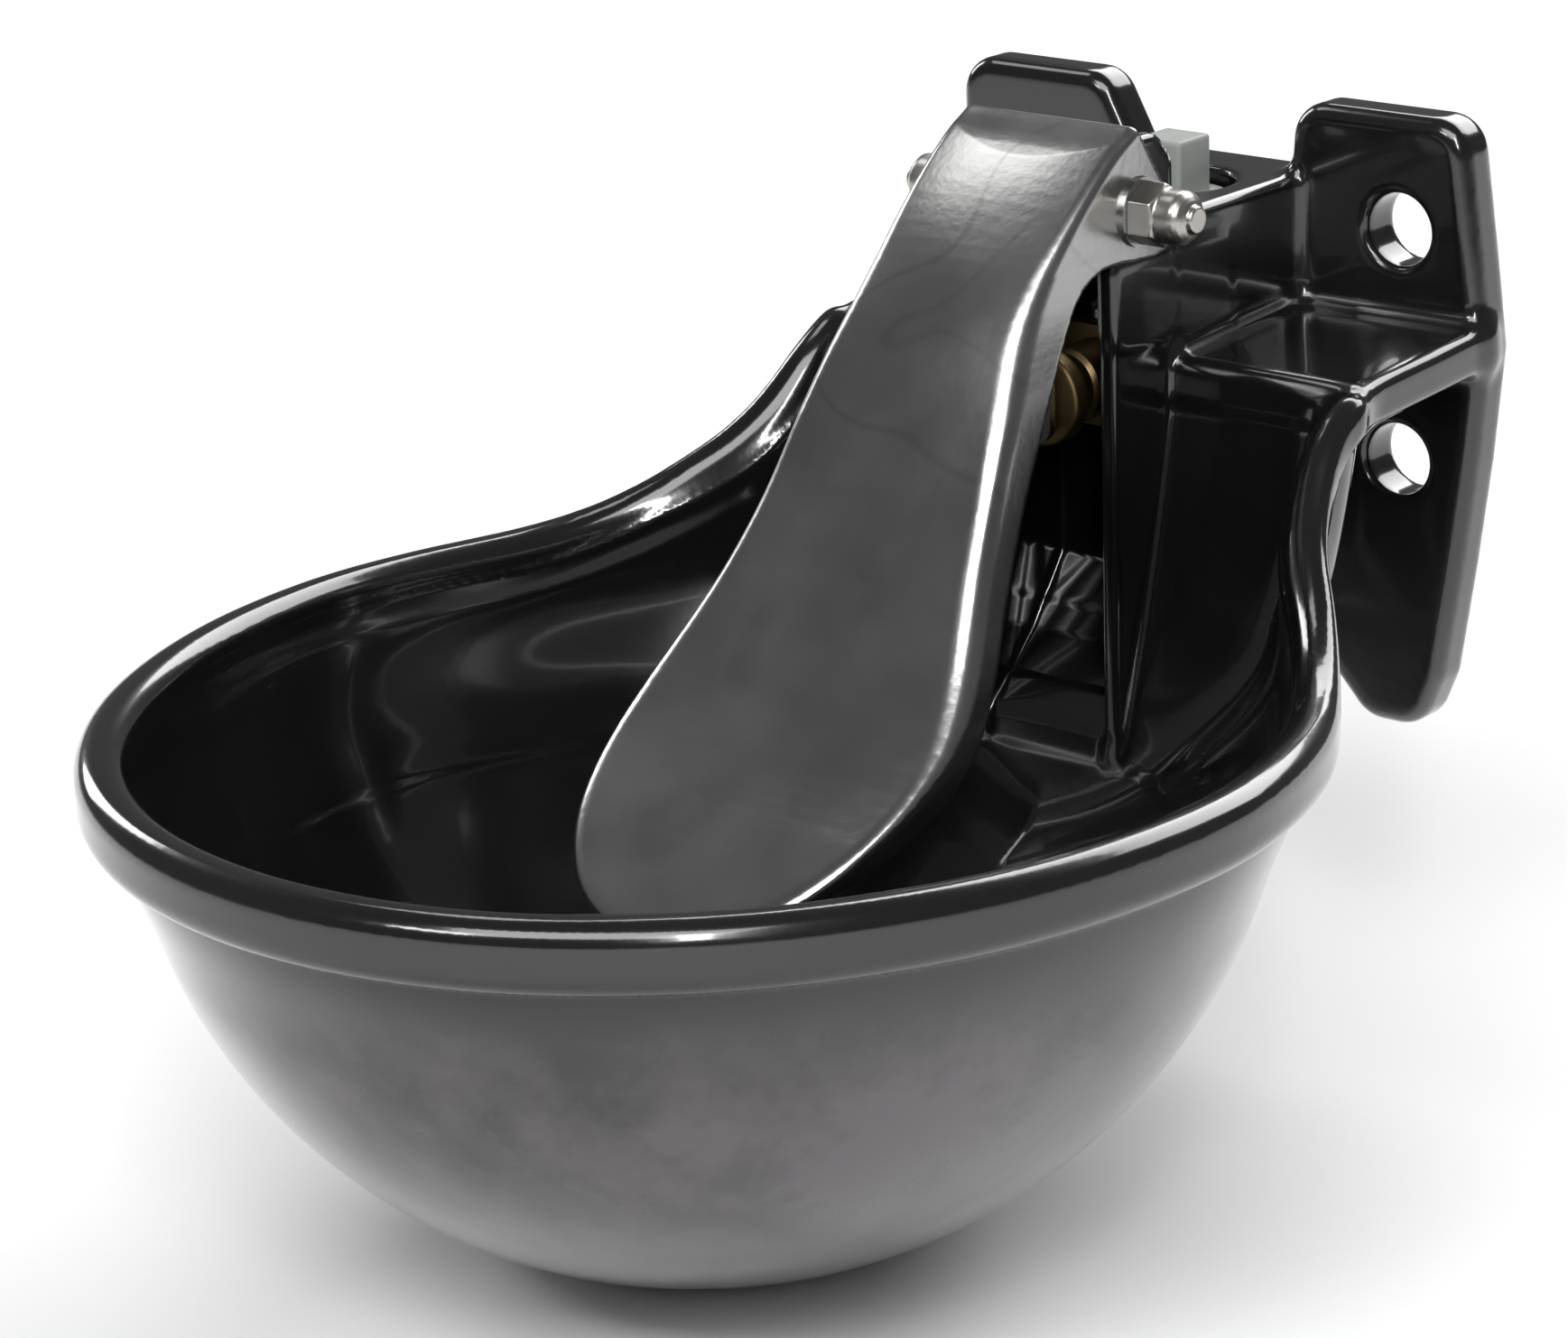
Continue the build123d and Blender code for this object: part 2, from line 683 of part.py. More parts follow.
# ------------------------------------------------------------- pipe connections
with BuildPart() as top_plug:
    with BuildSketch(Plane.XY.offset(recess_floor + 1.5)):
        with Locations((0, duct_y)):
            Circle(13.0)
    extrude(amount=2.4)
    chamfer(top_plug.edges().filter_by(GeomType.CIRCLE).group_by(Axis.Z)[-1], length=0.6)
    with BuildSketch(Plane.XY.offset(recess_floor + 3.9)):
        with Locations((0, duct_y)):
            Rectangle(12.6, 12.6)
    extrude(amount=13.8)
    fillet(top_plug.edges().filter_by(Axis.Z), radius=0.8)
    with BuildSketch(Plane.XY.offset(recess_floor + 1.5)):
        with Locations((0, duct_y)):
            Circle(duct_r - 0.05)
    extrude(amount=-13.0)
    with BuildSketch(Plane.XY.offset(recess_floor - 12.0)):
        with Locations((0, duct_y)):
            Circle(6.5)
    extrude(amount=12.0, mode=Mode.SUBTRACT)
top_plug.part.label = "top_plug"

with BuildPart() as top_plug_seal:
    with BuildSketch(Plane.XY.offset(recess_floor)):
        with Locations((0, duct_y)):
            Circle(13.2)
            Circle(duct_r + 0.1, mode=Mode.SUBTRACT)
    extrude(amount=1.5)
top_plug_seal.part.label = "top_plug_seal"

# strainer in the duct: slotted tube with a closed top, its rim gripped above the shoulder
with BuildPart() as inlet_strainer:
    with BuildSketch(Plane.XY.offset(strainer_z + 0.5)):
        with Locations((0, duct_y)):
            Circle(duct_mid_r - 0.03)
    extrude(amount=2.3)
    with BuildSketch(Plane.XY.offset(strainer_z + 2.8)):
        with Locations((0, duct_y)):
            Circle(7.2)
    extrude(amount=22.2)
    with BuildSketch(Plane.XY.offset(strainer_z + 0.5)):
        with Locations((0, duct_y)):
            Circle(6.0)
    extrude(amount=23.2, mode=Mode.SUBTRACT)
    for z in (6.0, 11.5, 17.0):
        for across in ((1, 0, 0), (0, 1, 0)):
            with BuildSketch(Plane(origin=(0, duct_y, strainer_z + z), z_dir=across,
                                   x_dir=(across[1], across[0], 0))):
                Rectangle(8.4, 3.0)
            extrude(amount=10, both=True, mode=Mode.SUBTRACT)
inlet_strainer.part.label = "inlet_strainer"

# ------------------------------------------------------------------- export
export_step(bowl_casting.part, "parts/bowl_casting.step")
export_step(press_paddle.part, "parts/press_paddle.step")
export_step(striker_bracket.part, "parts/striker_bracket.step")
export_step(hinge_axle.part, "parts/hinge_axle.step")
export_step(hinge_cap_nuts.part, "parts/hinge_cap_nuts.step")
export_step(nut_washers.part, "parts/nut_washers.step")
export_step(thrust_washers.part, "parts/thrust_washers.step")
export_step(hinge_bushes.part, "parts/hinge_bushes.step")
export_step(valve_body.part, "parts/valve_body.step")
export_step(body_gasket.part, "parts/body_gasket.step")
export_step(valve_seat.part, "parts/valve_seat.step")
export_step(seal_disc.part, "parts/seal_disc.step")
export_step(seal_nut.part, "parts/seal_nut.step")
export_step(valve_stem.part, "parts/valve_stem.step")
export_step(push_button.part, "parts/push_button.step")
export_step(stem_guide.part, "parts/stem_guide.step")
export_step(guide_o_ring.part, "parts/guide_o_ring.step")
export_step(return_spring.part, "parts/return_spring.step")
export_step(spring_cage.part, "parts/spring_cage.step")
export_step(flow_screw.part, "parts/flow_screw.step")
export_step(flow_screw_o_ring.part, "parts/flow_screw_o_ring.step")
export_step(top_plug.part, "parts/top_plug.step")
export_step(top_plug_seal.part, "parts/top_plug_seal.step")
export_step(inlet_strainer.part, "parts/inlet_strainer.step")
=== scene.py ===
import math

import bpy
import numpy as np
from mathutils import Matrix, Vector


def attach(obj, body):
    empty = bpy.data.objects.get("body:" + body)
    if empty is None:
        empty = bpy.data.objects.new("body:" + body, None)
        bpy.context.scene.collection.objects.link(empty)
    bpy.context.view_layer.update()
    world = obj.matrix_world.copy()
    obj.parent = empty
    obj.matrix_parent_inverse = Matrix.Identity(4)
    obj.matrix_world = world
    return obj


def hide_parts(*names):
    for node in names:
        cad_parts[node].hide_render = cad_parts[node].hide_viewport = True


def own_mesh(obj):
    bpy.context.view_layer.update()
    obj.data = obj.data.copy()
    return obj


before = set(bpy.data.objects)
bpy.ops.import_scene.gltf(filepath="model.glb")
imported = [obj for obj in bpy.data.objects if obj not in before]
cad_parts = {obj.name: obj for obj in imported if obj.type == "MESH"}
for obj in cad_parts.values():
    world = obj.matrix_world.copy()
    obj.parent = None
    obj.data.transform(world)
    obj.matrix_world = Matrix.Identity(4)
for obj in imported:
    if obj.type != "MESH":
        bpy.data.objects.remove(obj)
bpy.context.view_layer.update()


# ------------------------------------------------------------ shape functions
def smin(a, b, k):
    h = np.clip(0.5 + 0.5 * (b - a) / k, 0.0, 1.0)
    return b * (1 - h) + a * h - k * h * (1 - h)


def smax(a, b, k):
    return -smin(-a, -b, k)


def smooth(t):
    t = np.clip(t, 0.0, 1.0)
    return t * t * t * (t * (6 * t - 15) + 10)


def table(pts, sigma, step=0.5):
    """A measured curve, softened, as a lookup."""
    us = np.array([p[0] for p in pts], float)
    vs = np.array([p[1] for p in pts], float)
    u = np.arange(us[0] - 40, us[-1] + 40, step)
    v = np.interp(u, us, vs)
    # linear ends keep their slope
    s0 = (vs[1] - vs[0]) / (us[1] - us[0])
    s1 = (vs[-1] - vs[-2]) / (us[-1] - us[-2])
    v = np.where(u < us[0], vs[0] + (u - us[0]) * s0, v)
    v = np.where(u > us[-1], vs[-1] + (u - us[-1]) * s1, v)
    n = int(4 * sigma / step)
    g = np.exp(-0.5 * (np.arange(-n, n + 1) * step / sigma) ** 2)
    g /= g.sum()
    return u, np.convolve(np.pad(v, n, mode="edge"), g, mode="valid")


def lookup(tab, u):
    return np.interp(u, tab[0], tab[1])


def poly_sd(u, v, pts):
    """Signed distance to a closed polygon in the plane."""
    d = np.full(u.shape, 1e18)
    s = np.ones(u.shape)
    n = len(pts)
    for i in range(n):
        ax, ay = pts[i]
        bx, by = pts[i - 1]
        ex, ey = bx - ax, by - ay
        wx, wy = u - ax, v - ay
        t = np.clip((wx * ex + wy * ey) / (ex * ex + ey * ey), 0, 1)
        dx, dy = wx - ex * t, wy - ey * t
        d = np.minimum(d, dx * dx + dy * dy)
        c1, c2, c3 = v >= ay, v < by, ex * wy > ey * wx
        s = np.where((c1 & c2 & c3) | (~c1 & ~c2 & ~c3), -s, s)
    return s * np.sqrt(d)


def inset(pts, r):
    """Convex polygon moved inwards by r, so that growing it again rounds its corners."""
    p = np.array(pts, float)
    area = 0.5 * np.sum(p[:, 0] * np.roll(p[:, 1], -1) - np.roll(p[:, 0], -1) * p[:, 1])
    if area < 0:
        p = p[::-1]
    out = []
    n = len(p)
    for i in range(n):
        a, b, c = p[i - 1], p[i], p[(i + 1) % n]
        d1, d2 = (b - a) / np.linalg.norm(b - a), (c - b) / np.linalg.norm(c - b)
        n1, n2 = np.array([-d1[1], d1[0]]), np.array([-d2[1], d2[0]])
        m = np.array([[d1[1], -d1[0]], [d2[1], -d2[0]]])
        q = np.array([d1[1] * (a + n1 * r)[0] - d1[0] * (a + n1 * r)[1],
                      d2[1] * (b + n2 * r)[0] - d2[0] * (b + n2 * r)[1]])
        if abs(np.linalg.det(m)) < 1e-6:
            out.append(tuple(b + n1 * r))
        else:
            out.append(tuple(np.linalg.solve(m, q)))
    return out


def round_poly(u, v, pts, r):
    return poly_sd(u, v, inset(pts, r)) - r


def prism(d2, w, r):
    """A flat shape with distance d2, w the distance past its faces, edges rounded by r."""
    a, b = d2 + r, w + r
    return np.minimum(np.maximum(a, b), 0) + np.hypot(np.maximum(a, 0), np.maximum(b, 0)) - r


def round_box(x, y, z, c, h, r):
    qx = np.abs(x - c[0]) - h[0] + r
    qy = np.abs(y - c[1]) - h[1] + r
    qz = np.abs(z - c[2]) - h[2] + r
    out = np.sqrt(np.maximum(qx, 0) ** 2 + np.maximum(qy, 0) ** 2 + np.maximum(qz, 0) ** 2)
    return out + np.minimum(np.maximum(qx, np.maximum(qy, qz)), 0) - r


# -------------------------------------------------------------------- meshing
def evaluate(fn, p, chunk=400000):
    out = np.empty(len(p))
    for i in range(0, len(p), chunk):
        q = p[i:i + chunk]
        out[i:i + chunk] = fn(q[:, 0], q[:, 1], q[:, 2])
    return out


def nets(fn, lo, hi, h, project=3, reach=2.4):
    """Closed quad mesh of the surface where fn is zero, its points pulled on to it."""
    lo = np.array(lo, float)
    c = 4
    nc = np.ceil((np.array(hi, float) - lo) / (h * c)).astype(int) + 1
    ax = [lo[i] + np.arange(nc[i] + 1) * h * c for i in range(3)]
    grid = np.stack(np.meshgrid(*ax, indexing="ij"), -1).reshape(-1, 3)
    coarse = evaluate(fn, grid).reshape(nc + 1)
    near = np.abs(coarse) < h * c * reach
    cell = np.zeros(nc, bool)
    for i in (0, 1):
        for j in (0, 1):
            for k in (0, 1):
                cell |= near[i:nc[0] + i, j:nc[1] + j, k:nc[2] + k]
    nf = nc * c + 1
    mark = np.zeros(nf, bool)
    big = cell.repeat(c, 0).repeat(c, 1).repeat(c, 2)
    for i in (0, 1):
        for j in (0, 1):
            for k in (0, 1):
                mark[i:nf[0] - 1 + i, j:nf[1] - 1 + j, k:nf[2] - 1 + k] |= big
    field = np.ones(nf, np.float32)
    inside = coarse[:-1, :-1, :-1] < 0
    field[:-1, :-1, :-1] = np.where(inside, -1.0, 1.0).repeat(c, 0).repeat(c, 1).repeat(c, 2)
    idx = np.argwhere(mark)
    field[mark] = evaluate(fn, lo + idx * h)
    neg = field < 0
    count = np.zeros(nf - 1, np.uint8)
    for i in (0, 1):
        for j in (0, 1):
            for k in (0, 1):
                count += neg[i:nf[0] - 1 + i, j:nf[1] - 1 + j, k:nf[2] - 1 + k]
    active = (count > 0) & (count < 8)
    cells = np.argwhere(active)
    number = np.full(active.shape, -1, np.int64)
    number[active] = np.arange(len(cells))
    corners = [(i, j, k) for i in (0, 1) for j in (0, 1) for k in (0, 1)]
    vals = {q: field[cells[:, 0] + q[0], cells[:, 1] + q[1], cells[:, 2] + q[2]] for q in corners}
    total = np.zeros((len(cells), 3))
    hits = np.zeros(len(cells))
    for q in corners:
        for axis in range(3):
            if q[axis]:
                continue
            r = list(q)
            r[axis] = 1
            a, b = vals[q], vals[tuple(r)]
            cross = (a < 0) != (b < 0)
            t = np.where(cross, a / np.where(cross, a - b, 1), 0)
            point = np.array(q, float)[None, :].repeat(len(cells), 0)
            point[:, axis] += t
            total += point * cross[:, None]
            hits += cross
    v = lo + (cells + total / hits[:, None]) * h
    quads = []
    for axis in range(3):
        b, c2 = [(1, 2), (2, 0), (0, 1)][axis]
        sl = [slice(None)] * 3
        s2 = [slice(None)] * 3
        sl[axis], s2[axis] = slice(0, -1), slice(1, None)
        a0, a1 = neg[tuple(sl)], neg[tuple(s2)]
        e = np.argwhere(a0 != a1)
        ok = (e[:, b] > 0) & (e[:, c2] > 0) & (e[:, b] < nf[b] - 1) & (e[:, c2] < nf[c2] - 1)
        e = e[ok]
        flip = a0[e[:, 0], e[:, 1], e[:, 2]]
        ring = []
        for db, dc in ((-1, -1), (0, -1), (0, 0), (-1, 0)):
            p = e.copy()
            p[:, b] += db
            p[:, c2] += dc
            ring.append(number[p[:, 0], p[:, 1], p[:, 2]])
        q = np.stack(ring, 1)
        q = np.where(flip[:, None], q, q[:, ::-1])
        quads.append(q)
    quads = np.concatenate(quads)
    start = v.copy()
    for _ in range(project):
        e = h * 0.25
        f0 = evaluate(fn, v)
        g = np.stack([evaluate(fn, v + np.eye(3)[i] * e) - f0 for i in range(3)], 1) / e
        n2 = np.maximum((g * g).sum(1), 0.05)
        v = v - np.clip(f0, -h, h)[:, None] * g / n2[:, None]
        move = v - start
        long = np.linalg.norm(move, axis=1)
        v = start + move * np.minimum(1, 0.9 * h / np.maximum(long, 1e-9))[:, None]
    return v, quads


def make_object(name, verts, faces, material, smooth_shading=True):
    mesh = bpy.data.meshes.new(name)
    verts = np.asarray(verts, np.float32) * 0.001
    faces = np.asarray(faces, np.int32)
    n = faces.shape[1]
    mesh.vertices.add(len(verts))
    mesh.vertices.foreach_set("co", verts.ravel())
    mesh.loops.add(faces.size)
    mesh.loops.foreach_set("vertex_index", faces.ravel())
    mesh.polygons.add(len(faces))
    mesh.polygons.foreach_set("loop_start", np.arange(0, faces.size, n, dtype=np.int32))
    mesh.polygons.foreach_set("loop_total", np.full(len(faces), n, np.int32))
    mesh.update(calc_edges=True)
    mesh.validate()
    if smooth_shading:
        mesh.polygons.foreach_set("use_smooth", np.ones(len(mesh.polygons), bool))
    mesh.materials.append(material)
    obj = bpy.data.objects.new(name, mesh)
    bpy.context.scene.collection.objects.link(obj)
    return obj


# ------------------------------------------------------------------ materials
def new_material(name):
    m = bpy.data.materials.new(name)
    m.use_nodes = True
    nt = m.node_tree
    bsdf = nt.nodes["Principled BSDF"]
    coord = nt.nodes.new("ShaderNodeTexCoord")
    return m, nt, bsdf, coord.outputs["Object"]


def noise(nt, vec, scale, detail=3.0, rough=0.55, distortion=0.0):
    n = nt.nodes.new("ShaderNodeTexNoise")
    n.inputs["Scale"].default_value = scale
    n.inputs["Detail"].default_value = detail
    n.inputs["Roughness"].default_value = rough
    n.inputs["Distortion"].default_value = distortion
    nt.links.new(vec, n.inputs["Vector"])
    return n.outputs["Fac"]


def ramp(nt, fac, stops):
    r = nt.nodes.new("ShaderNodeValToRGB")
    e = r.color_ramp.elements
    while len(e) < len(stops):
        e.new(0.5)
    for el, (pos, col) in zip(e, stops):
        el.position = pos
        el.color = (*col, 1) if len(col) == 3 else col
    nt.links.new(fac, r.inputs["Fac"])
    return r.outputs["Color"]


def to_range(nt, fac, lo, hi, f0=0.0, f1=1.0):
    m = nt.nodes.new("ShaderNodeMapRange")
    m.inputs["From Min"].default_value = f0
    m.inputs["From Max"].default_value = f1
    m.inputs["To Min"].default_value = lo
    m.inputs["To Max"].default_value = hi
    nt.links.new(fac, m.inputs["Value"])
    return m.outputs["Result"]


def stretch(nt, vec, scale):
    m = nt.nodes.new("ShaderNodeMapping")
    m.inputs["Scale"].default_value = scale
    nt.links.new(vec, m.inputs["Vector"])
    return m.outputs["Vector"]


def bump(nt, bsdf, height, strength, distance):
    b = nt.nodes.new("ShaderNodeBump")
    b.inputs["Strength"].default_value = strength
    b.inputs["Distance"].default_value = distance
    nt.links.new(height, b.inputs["Height"])
    nt.links.new(b.outputs["Normal"], bsdf.inputs["Normal"])


def mix(nt, fac, a, b):
    m = nt.nodes.new("ShaderNodeMix")
    m.data_type = "RGBA"
    nt.links.new(fac, m.inputs[0])
    for sock, val in ((m.inputs[6], a), (m.inputs[7], b)):
        if isinstance(val, tuple):
            sock.default_value = (*val, 1)
        else:
            nt.links.new(val, sock)
    return m.outputs[2]


def enamel():
    m, nt, bsdf, co = new_material("black_enamel_look")
    big = noise(nt, co, 14.0, 4.0)
    fine = noise(nt, co, 260.0, 3.0)
    tex = nt.nodes.new("ShaderNodeTexCoord")
    split = nt.nodes.new("ShaderNodeSeparateXYZ")
    nt.links.new(tex.outputs["Normal"], split.inputs[0])
    place = nt.nodes.new("ShaderNodeSeparateXYZ")
    nt.links.new(co, place.inputs[0])
    # painted reflection: the downward-facing outside of the lower bowl is blended towards a grey base
    # colour, in mottled patches, to stand in for the pale floor reflected there
    under = to_range(nt, split.outputs[2], 0.0, 1.0, -0.02, -0.42)
    depth = to_range(nt, place.outputs[2], 0.0, 1.0, -0.058, -0.078)
    cloud = noise(nt, co, 26.0, 5.0, 0.6)
    patch = to_range(nt, cloud, 0.30, 1.25, 0.35, 0.65)
    painted_reflection = nt.nodes.new("ShaderNodeMath")
    painted_reflection.operation = "MULTIPLY"
    nt.links.new(under, painted_reflection.inputs[0])
    nt.links.new(depth, painted_reflection.inputs[1])
    painted_reflection2 = nt.nodes.new("ShaderNodeMath")
    painted_reflection2.operation = "MULTIPLY"
    painted_reflection2.use_clamp = True
    nt.links.new(painted_reflection.outputs[0], painted_reflection2.inputs[0])
    nt.links.new(patch, painted_reflection2.inputs[1])
    glossy = ramp(nt, big, [(0.3, (0.004, 0.004, 0.0045)), (0.7, (0.008, 0.0075, 0.0085))])
    nt.links.new(mix(nt, painted_reflection2.outputs[0], glossy, (0.088, 0.080, 0.084)),
                 bsdf.inputs["Base Color"])
    nt.links.new(to_range(nt, big, 0.13, 0.22, 0.3, 0.7), bsdf.inputs["Roughness"])
    bsdf.inputs["IOR"].default_value = 1.55
    bsdf.inputs["Coat Weight"].default_value = 0.6
    bsdf.inputs["Coat Roughness"].default_value = 0.06
    bump(nt, bsdf, fine, 0.045, 0.0006)
    return m


def sheet_steel(name, tone=1.0, brushed=(1, 1, 1), rough=(0.20, 0.28)):
    m, nt, bsdf, co = new_material(name)
    grain = noise(nt, stretch(nt, co, brushed), 420.0, 2.0)
    cloud = noise(nt, co, 22.0, 4.0, 0.6)
    base = ramp(nt, cloud, [(0.3, (0.38 * tone, 0.382 * tone, 0.375 * tone)),
                            (0.7, (0.45 * tone, 0.452 * tone, 0.445 * tone))])
    # faint long scuffs left by rubbing muzzles
    scuff = noise(nt, co, 9.0, 1.0, 0.4, 0.6)
    line = ramp(nt, scuff, [(0.485, (0, 0, 0)), (0.492, (1, 1, 1)), (0.500, (0, 0, 0)),
                            (0.585, (0, 0, 0)), (0.590, (0.8, 0.8, 0.8)), (0.596, (0, 0, 0))])
    faint = nt.nodes.new("ShaderNodeMath")
    faint.operation = "MULTIPLY"
    nt.links.new(line, faint.inputs[0])
    faint.inputs[1].default_value = 0.22
    base = mix(nt, faint.outputs[0], base, (0.12 * tone, 0.12 * tone, 0.12 * tone))
    nt.links.new(base, bsdf.inputs["Base Color"])
    bsdf.inputs["Metallic"].default_value = 1.0
    nt.links.new(to_range(nt, cloud, rough[0], rough[1], 0.3, 0.7), bsdf.inputs["Roughness"])
    bump(nt, bsdf, grain, 0.10, 0.0004)
    return m


def polished_steel():
    m, nt, bsdf, co = new_material("polished_steel_look")
    rings = noise(nt, stretch(nt, co, (6, 1, 1)), 300.0, 2.0)
    cloud = noise(nt, co, 60.0, 3.0)
    nt.links.new(ramp(nt, cloud, [(0.3, (0.44, 0.42, 0.39)), (0.7, (0.56, 0.54, 0.51))]),
                 bsdf.inputs["Base Color"])
    bsdf.inputs["Metallic"].default_value = 1.0
    nt.links.new(to_range(nt, cloud, 0.28, 0.38, 0.3, 0.7), bsdf.inputs["Roughness"])
    bump(nt, bsdf, rings, 0.05, 0.0003)
    return m


def brass():
    m, nt, bsdf, co = new_material("brass_painted_shade_look")
    cloud = noise(nt, co, 90.0, 4.0)
    # painted shade: the brass base colour is held at about half its brightness to stand in for the
    # shade the button sits in behind the paddle
    nt.links.new(ramp(nt, cloud, [(0.3, (0.16, 0.112, 0.052)), (0.7, (0.24, 0.172, 0.084))]),
                 bsdf.inputs["Base Color"])
    bsdf.inputs["Metallic"].default_value = 1.0
    nt.links.new(to_range(nt, cloud, 0.36, 0.50, 0.3, 0.7), bsdf.inputs["Roughness"])
    bump(nt, bsdf, noise(nt, co, 500.0, 2.0), 0.08, 0.0003)
    return m


def plastic(name, a, b, rough=(0.42, 0.58)):
    m, nt, bsdf, co = new_material(name)
    cloud = noise(nt, co, 70.0, 4.0)
    nt.links.new(ramp(nt, cloud, [(0.3, a), (0.7, b)]), bsdf.inputs["Base Color"])
    nt.links.new(to_range(nt, cloud, rough[0], rough[1], 0.3, 0.7), bsdf.inputs["Roughness"])
    bump(nt, bsdf, noise(nt, co, 700.0, 3.0), 0.15, 0.0002)
    return m


M_ENAMEL = enamel()
M_SHEET = sheet_steel("paddle_steel_look")
M_BRACKET = sheet_steel("bracket_steel_look", 1.05, (1, 1, 4))
M_NUT = polished_steel()
M_BRASS = brass()
M_PLUG = plastic("plug_plastic_look", (0.26, 0.28, 0.265), (0.33, 0.35, 0.33))
M_WHITE = plastic("white_plastic_look", (0.55, 0.54, 0.50), (0.66, 0.65, 0.61))
M_RUBBER = plastic("rubber_look", (0.012, 0.012, 0.012), (0.03, 0.03, 0.03), (0.6, 0.8))

for node, look in {
    "striker_bracket": M_BRACKET, "hinge_axle": M_NUT, "nut_washers": M_BRACKET,
    "hinge_bushes": M_WHITE, "thrust_washers": M_WHITE, "valve_body": M_BRASS,
    "body_gasket": M_RUBBER, "valve_seat": M_WHITE, "valve_stem": M_NUT,
    "stem_guide": M_WHITE, "guide_o_ring": M_RUBBER, "seal_disc": M_RUBBER,
    "seal_nut": M_BRASS, "return_spring": M_BRACKET, "spring_cage": M_WHITE,
    "flow_screw": M_NUT, "flow_screw_o_ring": M_RUBBER, "inlet_strainer": M_WHITE,
    "top_plug_seal": M_RUBBER, "bowl_casting": M_ENAMEL, "press_paddle": M_SHEET,
    "hinge_cap_nuts": M_NUT, "push_button": M_BRASS, "top_plug": M_PLUG,
}.items():
    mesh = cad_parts[node].data
    for i in range(len(mesh.materials)):
        mesh.materials[i] = look
    if not len(mesh.materials):
        mesh.materials.append(look)

# -------------------------------------------------------------------- casting
Z0, C, M = -51.6, 115.9, 1.89
NECK_W = table([(-230, -70), (-125, -34), (-108, 4), (-95, 36), (-75, 56), (-58, 67.5), (-46, 71.5),
                (-20, 73.4), (80, 73.6)], 7.0)
RIM = table([(-400, -40), (-150, -40), (-140, -39.6), (-130, -38.2), (-120, -35.4),
             (-110, -30.6), (-100, -23.2), (-90, -13.8), (-80, -2.6), (-72, 3.0), (-66, 5.0),
             (-60, 5.6), (-30, 6.6)], 3.0)
RIM_SLOPE = (RIM[0], np.gradient(RIM[1], RIM[0]))


def body_k(x, y, z, t, wall):
    s = smooth((z + 82.0) / 36.0)
    w = wall * (1 - 0.07 * s)
    a = 123.9 + 2.1 * s - w
    b = 127.8 + 10.5 * s - w
    yc = -202.9 + 6.1 * s
    back = smooth((y - yc + 30.0) / 60.0)
    n = (1.92 + 0.08 * s) * (1 - back) + (1.92 - 0.07 * s) * back
    rho = ((np.abs(x) / a) ** n + (np.abs(y - yc) / b) ** n) ** (1 / n)
    h = np.maximum(Z0 - z, 0) / (C - wall)
    return (rho**M + h**M) ** (1 / M) - 1


def bowl_field(x, y, z, wall):
    e = 0.6
    f = body_k(x, y, z, 0, wall)
    gx = (body_k(x + e, y, z, 0, wall) - f) / e
    gy = (body_k(x, y + e, z, 0, wall) - f) / e
    gz = (body_k(x, y, z + e, 0, wall) - f) / e
    return f / np.sqrt(np.maximum(gx * gx + gy * gy + gz * gz, 1e-5))


def basin(x, y, z, wall, k_side):
    """Bowl and neck together, outer skin for wall 0, the hollow for wall 6."""
    back = (-60.1 if wall else -54.0) - (3.4 - z) * 0.257
    d_back = (y - back) / 1.0325
    w = lookup(NECK_W, z) - (5.5 if wall else 0.0)
    d_side = (np.abs(x) - w) / (1 + 0.5 * smooth((-50 - z) / 20))
    neck = np.maximum(smax(d_side, d_back, 16.0 if wall else 12.0), -y - 135)
    return smax(smin(bowl_field(x, y, z, wall), neck, k_side), d_back, 5.0)


EAR = [(20.6, 54.7), (67.0, 54.7), (71.2, 22.0), (73.6, 1.0), (70.6, -26.0), (66.6, -53.0),
       (62.0, -80.0), (56.5, -93.2), (41.5, -93.2), (19.0, -69.0), (19.0, 34.0)]
EAR_LEFT = [(34.0, 55.3), (77.0, 55.3), (76.6, 22.0)] + EAR[3:10] + [(19.0, 34.0), (25.0, 39.0)]
WALL = [(-40, 30), (-85, 30), (-85, -80), (-83.5, -92), (-60, -84), (-40, -60)]
LUG = [(-61.3, 10), (-61.3, 50.5), (-67.0, 57.8), (-77.0, 57.8), (-85, 51.5), (-85, 10)]
FLOOR = [(-50, -40), (-54, -50), (-66, -66), (-82.5, -82), (-82.5, -88), (-60, -84),
         (-40, -72), (-40, -40)]
CHANNEL = [(-54, 80), (-54, -50), (-66, -66), (-84, -82), (-130, -84), (-130, 80)]


